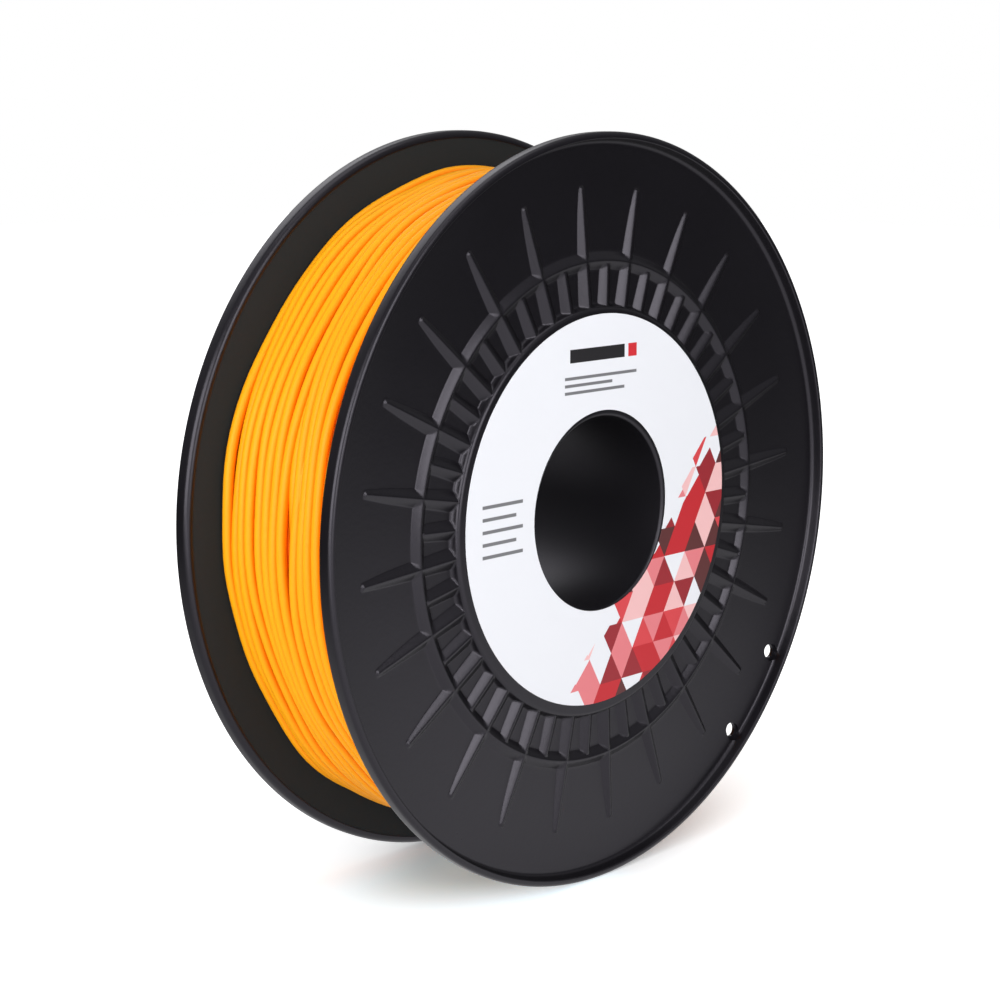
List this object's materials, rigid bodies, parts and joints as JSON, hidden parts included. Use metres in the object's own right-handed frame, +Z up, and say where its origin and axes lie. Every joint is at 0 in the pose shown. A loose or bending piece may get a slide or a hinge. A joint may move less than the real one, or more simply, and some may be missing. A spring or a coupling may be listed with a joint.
{
  "type": "filament spool",
  "caption": "Ribbed reel with two rimmed flanges on a hollow core, wound full with round plastic filament, with a ring label around its through bore.",
  "frame": {"origin": "middle of the through bore, halfway between the two flanges' outer planes", "axes": "+Y along the bore axis from the labelled flange to the plain one, +Z up when the spool stands on its rims, +X to the right seen from the labelled side"},
  "size_m": [0.2, 0.057, 0.2],
  "materials": {
    "reel_plastic": "black moulded polystyrene, satin",
    "label_film": "printed white film label, semi matt",
    "filament": "orange extruded filament, glossy and slightly translucent"
  },
  "bodies": {
    "root": {"front_flange": "reel_plastic", "rear_flange": "reel_plastic", "core": "reel_plastic", "front_label": "label_film", "filament_layers": "filament", "filament_top_layer": "filament"}
  },
  "joints": []
}
